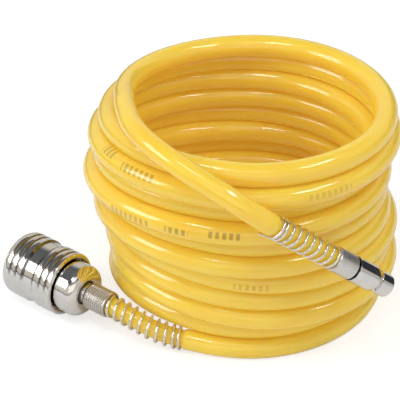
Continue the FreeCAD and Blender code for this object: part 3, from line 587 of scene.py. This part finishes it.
def coil_place(turn):
    """A point of the hose's spline, set outwards because the spline passes inside its points."""
    x, y, radius = coil_plan(turn)
    outward = radius * (OUTWARD - 1.0)
    x += outward * math.cos(coil_angle(turn))
    y += outward * math.sin(coil_angle(turn))
    z = coil_height(turn) + TOP_LIFT * fading(turn - FIRST_TURN, TOP_LIFT_TURNS)
    return COIL_MIDDLE + Vector((x, y, z)) * MM


def hose_route():
    """The whole hose as one spline, from the coupler through the coil to the plug."""
    points = [(Vector(corner), 1.0) for corner in COUPLER_CORNERS]
    count = round((LAST_TURN - FIRST_TURN) * POINTS_PER_TURN)
    for number in range(count + 1):
        turn = LAST_TURN - (LAST_TURN - FIRST_TURN) * number / count
        from_ends = min(number, count - number) / SNUG_POINTS
        points.append((coil_place(turn), 1.0 + (SNUG - 1.0) * smooth(from_ends)))
    points += [(Vector(corner), 1.0) for corner in reversed(PLUG_CORNERS)]
    data = bpy.data.curves.new("hose_route", "CURVE")
    data.dimensions = "3D"
    data.twist_mode = "Z_UP"
    data.resolution_u = 8
    spline = data.splines.new("NURBS")
    spline.points.add(len(points) - 1)
    for point, (place, swell) in zip(spline.points, points):
        point.co = (*place, 1.0)
        point.radius = swell
    spline.order_u = 3
    spline.use_endpoint_u = True
    return in_collection(bpy.data.objects.new("hose_route", data))


def hose_pattern():
    """Tube along a route, flattened where it stands on the floor, that remembers its run and side."""
    pattern = Pattern("hose_tube", [
        ("Route", "NodeSocketObject"),
        ("Diameter", "NodeSocketFloat"),
        ("Ring Spacing", "NodeSocketFloat"),
        ("Sides", "NodeSocketInt"),
        ("First Neck Start", "NodeSocketFloat"),
        ("First Neck End", "NodeSocketFloat"),
        ("Last Neck Start", "NodeSocketFloat"),
        ("Last Neck End", "NodeSocketFloat"),
        ("Neck Share", "NodeSocketFloat"),
        ("Skin", "NodeSocketMaterial"),
    ])
    given = pattern.given.outputs
    line = pattern.node("GeometryNodeObjectInfo", {}, {"Object": given["Route"]}, "Geometry")
    line = pattern.node("GeometryNodeResampleCurve", {"mode": "LENGTH"},
                        {"Curve": line, "Length": given["Ring Spacing"]})
    line = pattern.node("GeometryNodeSetCurveNormal", {"mode": "Z_UP"}, {"Curve": line})
    run = pattern.node("GeometryNodeSplineParameter", {}, {}, "Length")
    line = pattern.kept(line, "run", "FLOAT", run)
    half = pattern.maths("MULTIPLY", given["Diameter"], 0.5)
    section = pattern.node("GeometryNodeCurvePrimitiveCircle", {"mode": "RADIUS"},
                           {"Resolution": given["Sides"], "Radius": half})
    corner = pattern.node("GeometryNodeInputPosition", {}, {})
    section = pattern.kept(section, "side", "FLOAT_VECTOR", pattern.vector_maths("NORMALIZE", {0: corner}))
    length = pattern.node("GeometryNodeCurveLength", {}, {"Curve": line})
    left = pattern.maths("SUBTRACT", length, run)
    necked = pattern.maths("ADD",
                           pattern.between(run, given["First Neck Start"], given["First Neck End"]),
                           pattern.between(left, given["Last Neck Start"], given["Last Neck End"]))
    loss = pattern.maths("MULTIPLY", necked, pattern.maths("SUBTRACT", 1.0, given["Neck Share"]))
    swell = pattern.node("GeometryNodeInputRadius", {}, {})
    swell = pattern.maths("SUBTRACT", swell, loss)
    tube = pattern.node("GeometryNodeCurveToMesh", {},
                        {"Curve": line, "Profile Curve": section, "Scale": swell, "Fill Caps": True})
    place = pattern.node("GeometryNodeInputPosition", {}, {})
    on_floor = pattern.vector_maths("MAXIMUM", {0: place, 1: HOSE_LOWEST})
    tube = pattern.node("GeometryNodeSetPosition", {}, {"Geometry": tube, "Position": on_floor})
    tube = pattern.node("GeometryNodeSetShadeSmooth", {}, {"Geometry": tube})
    pattern.ended(tube)
    return pattern


def make_hose():
    """Makes the hose and gives its middle line too."""
    route = hose_route()
    bpy.context.view_layer.update()
    graph = bpy.context.evaluated_depsgraph_get()
    line = bpy.data.meshes.new_from_object(route.evaluated_get(graph))
    path = [tuple(vertex.co) for vertex in line.vertices]
    bpy.data.meshes.remove(line)
    hose = hose_pattern().made("hose", {
        "Route": route,
        "Diameter": HOSE_DIAMETER,
        "Ring Spacing": RING_SPACING,
        "Sides": SIDES,
        "First Neck Start": COUPLER_NECK[0],
        "First Neck End": COUPLER_NECK[1],
        "Last Neck Start": PLUG_NECK[0],
        "Last Neck End": PLUG_NECK[1],
        "Neck Share": NECK_SHARE,
        "Skin": hose_skin(),
    })
    bpy.data.objects.remove(route)
    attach(hose, "hose")
    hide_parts("hose_coil", "coupler_tail_hose", "plug_tail_hose")
    return hose, path


# Knurled grip of the coupler's clamp nut

def knurl_pattern():
    """Rows of small pyramids round a cylinder, every second row set half a step round."""
    pattern = Pattern("knurl", [
        ("Around", "NodeSocketInt"),
        ("Rows", "NodeSocketInt"),
        ("Radius", "NodeSocketFloat"),
        ("Row Step", "NodeSocketFloat"),
        ("Height", "NodeSocketFloat"),
        ("Width", "NodeSocketFloat"),
        ("Tip", "NodeSocketVector"),
        ("Turn", "NodeSocketRotation"),
        ("Skin", "NodeSocketMaterial"),
    ])
    given = pattern.given.outputs
    count = pattern.maths("MULTIPLY", given["Around"], given["Rows"])
    points = pattern.node("GeometryNodeMeshLine", {"mode": "OFFSET"},
                          {"Count": count, "Offset": (0.0, 0.0, 0.0)})
    index = pattern.node("GeometryNodeInputIndex", {}, {})
    row = pattern.maths("FLOOR", pattern.maths("DIVIDE", index, given["Around"]))
    half_step = pattern.maths("MULTIPLY", pattern.maths("MODULO", row, 2.0), 0.5)
    place = pattern.maths("ADD", pattern.maths("MODULO", index, given["Around"]), half_step)
    angle = pattern.maths("MULTIPLY", pattern.maths("DIVIDE", place, given["Around"]), 2.0 * math.pi)
    outward = pattern.node("ShaderNodeCombineXYZ", {}, {
        "X": pattern.maths("COSINE", angle), "Y": pattern.maths("SINE", angle), "Z": 0.0})
    reach = pattern.vector_maths("SCALE", {0: outward, "Scale": given["Radius"]})
    station = pattern.node("ShaderNodeCombineXYZ", {}, {
        "X": 0.0, "Y": 0.0, "Z": pattern.maths("MULTIPLY", row, given["Row Step"])})
    position = pattern.vector_maths("ADD", {0: reach, 1: station})
    points = pattern.node("GeometryNodeSetPosition", {}, {"Geometry": points, "Position": position})
    tooth = pattern.node("GeometryNodeMeshCone", {"fill_type": "NGON"}, {
        "Vertices": 4, "Radius Top": 0.0, "Radius Bottom": given["Width"], "Depth": given["Height"]})
    facing = pattern.node("FunctionNodeAxesToRotation", {"primary_axis": "Z", "secondary_axis": "X"},
                          {"Primary Axis": outward, "Secondary Axis": (0.0, 0.0, 1.0)})
    teeth = pattern.node("GeometryNodeInstanceOnPoints", {},
                         {"Points": points, "Instance": tooth, "Rotation": facing})
    teeth = pattern.node("GeometryNodeTransform", {},
                         {"Geometry": teeth, "Translation": given["Tip"], "Rotation": given["Turn"]})
    pattern.ended(teeth)
    return pattern


def make_knurl(skin):
    knurl = knurl_pattern().made("coupler_nut_knurl", {
        "Around": KNURL_AROUND,
        "Rows": KNURL_ROWS,
        "Radius": KNURL_RADIUS,
        "Row Step": KNURL_STEP,
        "Height": KNURL_HEIGHT,
        "Width": KNURL_WIDTH,
        "Tip": COUPLER_TIP + COUPLER_AXIS * KNURL_START,
        "Turn": COUPLER_AXIS.to_track_quat("Z", "Y").to_euler(),
        "Skin": skin,
    })
    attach(knurl, "hose")


# Fittings

def painted(data, skin):
    data.materials.clear()
    data.materials.append(skin)
    return data


def dress(skin, *nodes):
    """Puts a finish on CAD pieces, whose shape is right as it is."""
    for name in nodes:
        painted(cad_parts[name].data, skin)


def make_spring(node, skin):
    """A spring of the coupler in place of its CAD piece, with the same shape and the given finish."""
    data = painted(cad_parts[node].data.copy(), skin)
    spring = in_collection(bpy.data.objects.new(node + "_wire", data))
    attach(spring, "hose")
    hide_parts(node)
    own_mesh(spring)


# Studio

def make_floor():
    """White paper to the eye, that darkens far to the left for everything else."""
    bpy.ops.mesh.primitive_plane_add(size=FLOOR_SIZE, location=(0.0, 0.0, 0.0))
    floor = bpy.context.object
    floor.name = "studio_floor"
    made = finish("studio_paper")
    tree = made.tree
    tree.nodes.remove(tree.nodes["Principled BSDF"])
    paper = made.node("ShaderNodeBsdfDiffuse", {}, {"Color": (0.80, 0.80, 0.80, 1.0)})
    place = made.node("ShaderNodeNewGeometry", {}, {}, "Position")
    away = made.node("ShaderNodeVectorMath", {"operation": "LENGTH"}, {0: place}, "Value")
    leftward = made.along(place, (-1.0, 0.0, 0.0))
    dusk = made.node("ShaderNodeBsdfDiffuse", {}, {"Color": (0.09, 0.09, 0.09, 1.0)})
    far_left = away.eased(0.30, 0.42) * (leftward > 0.0)
    paper = made.node("ShaderNodeMixShader", {}, {0: far_left, 1: paper, 2: dusk})
    shade = made.node("ShaderNodeBsdfDiffuse", {}, {"Color": (0.46, 0.46, 0.46, 1.0)})
    glow = made.node("ShaderNodeEmission", {}, {"Color": (1.0, 1.0, 1.0, 1.0), "Strength": 0.66})
    seen = made.node("ShaderNodeAddShader", {}, {0: shade, 1: glow})
    camera_ray = made.node("ShaderNodeLightPath", {}, {}, "Is Camera Ray")
    both = made.node("ShaderNodeMixShader", {}, {0: camera_ray, 1: paper, 2: seen})
    tree.links.new(both.link, tree.nodes["Material Output"].inputs["Surface"])
    floor.data.materials.append(made.owner)


def make_sky():
    """White to the eye, a softly lit dark room to the polished metal."""
    world = bpy.data.worlds.new("studio")
    bpy.context.scene.world = world
    made = Finish(world)
    rightward, backward, upward = made.parts(made.node("ShaderNodeTexCoord", {}, {}, "Generated"))
    mirror = made.colours(upward, [
        (0.00, (0.56, 0.53, 0.47)),
        (0.05, (0.58, 0.55, 0.48)),
        (0.12, (0.66, 0.61, 0.52)),
        (0.58, (0.70, 0.65, 0.56)),
        (0.72, (0.11, 0.11, 0.12)),
        (1.00, (0.16, 0.16, 0.16)),
    ])
    doorway = rightward.eased(0.22, 0.36) * backward.eased(-0.14, 0.0) * (1.0 - upward.eased(0.30, 0.38))
    mirror = made.mixed(doorway, mirror, (0.035, 0.037, 0.045, 1.0))
    glossy = made.node("ShaderNodeLightPath", {}, {}, "Is Glossy Ray")
    camera = made.node("ShaderNodeLightPath", {}, {}, "Is Camera Ray")
    lit = made.mixed(glossy, (0.45, 0.45, 0.45, 1.0), mirror)
    seen = made.mixed(camera, lit, (1.0, 1.0, 1.0, 1.0))
    background = made.tree.nodes["Background"]
    made.tree.links.new(seen.link, background.inputs["Color"])
    background.inputs["Strength"].default_value = 1.0


def softbox(name, azimuth, elevation, width, height, brightness):
    """Area lamp that faces the coil. Azimuth 0 is behind it (+Y), 90 to the right (+X).

    Brightness is that of the lamp's face, so a lamp's power grows with its area.
    """
    data = bpy.data.lights.new(name, "AREA")
    data.shape = "RECTANGLE"
    data.size = width
    data.size_y = height
    data.energy = brightness * math.pi * width * height
    azimuth = math.radians(azimuth)
    elevation = math.radians(elevation)
    sideways = math.cos(elevation)
    away = Vector((math.sin(azimuth) * sideways, math.cos(azimuth) * sideways, math.sin(elevation)))
    place_facing(bpy.data.objects.new(name, data), LAMP_TARGET, away, LAMP_DISTANCE)


def place_facing(obj, target, away, distance):
    """Sets a lamp or camera in a direction away from its target, facing it."""
    in_collection(obj)
    obj.location = target + away * distance
    obj.rotation_mode = "QUATERNION"
    obj.rotation_quaternion = away.to_track_quat("Z", "Y")
    return obj


def make_studio():
    make_floor()
    make_sky()
    for lamp in LAMPS:
        softbox(*lamp)


def make_camera():
    """The camera that took the photograph: far off with a long lens, 32 degrees above the floor."""
    data = bpy.data.cameras.new("camera")
    data.lens = CAMERA_LENS
    data.sensor_width = 36.0
    data.clip_start = 0.01
    away = Vector((0.0, -math.cos(CAMERA_TILT), math.sin(CAMERA_TILT)))
    camera = place_facing(bpy.data.objects.new("camera", data), CAMERA_TARGET, away, CAMERA_DISTANCE)
    bpy.context.scene.camera = camera


# The whole object

hose, hose_path = make_hose()
dress(plated_steel("coupler_plating", COUPLER_TIP, COUPLER_AXIS), "coupler_front_body", "coupler_rear_body")
dress(plated_steel("sleeve_plating", COUPLER_TIP, COUPLER_AXIS, ribs=RIB_GROOVES, edges=WAIST_EDGES),
      "coupler_sleeve")
dress(plated_steel("plug_plating", PLUG_TIP, PLUG_AXIS, stretches=[PLUG_JOINT_SHADE]), "plug_body")
dress(satin_steel("plug_nut_steel", PLUG_TIP, PLUG_AXIS, stretches=[PLUG_NUT_EDGE_SHADE]), "plug_clamp_nut")
coupler_nut_steel = satin_steel("coupler_nut_steel", COUPLER_TIP, COUPLER_AXIS,
                                COUPLER_NUT_RINGS, [COUPLER_NUT_EDGE_SHADE])
dress(coupler_nut_steel, "coupler_clamp_nut")
make_knurl(coupler_nut_steel)
dress(spring_wire("guard_wire"), "coupler_spring_guard", "plug_spring_guard")
inner_wire = spring_wire("inner_wire")
dress(inner_wire, "sleeve_stop_ring")
make_spring("sleeve_spring", inner_wire)
make_spring("valve_spring", inner_wire)
dress(turned_brass("poppet_brass", COUPLER_TIP, COUPLER_AXIS), "valve_poppet")
dress(black_rubber("seal_rubber"), "valve_seal", "plug_seal", "body_seal")
dress(plated_steel("ball_steel", COUPLER_TIP, COUPLER_AXIS, (0.75, 0.75, 0.76), 0.05),
      "locking_ball_1", "locking_ball_2", "locking_ball_3", "locking_ball_4")

make_studio()
make_camera()
bpy.context.scene.view_settings.view_transform = "Standard"
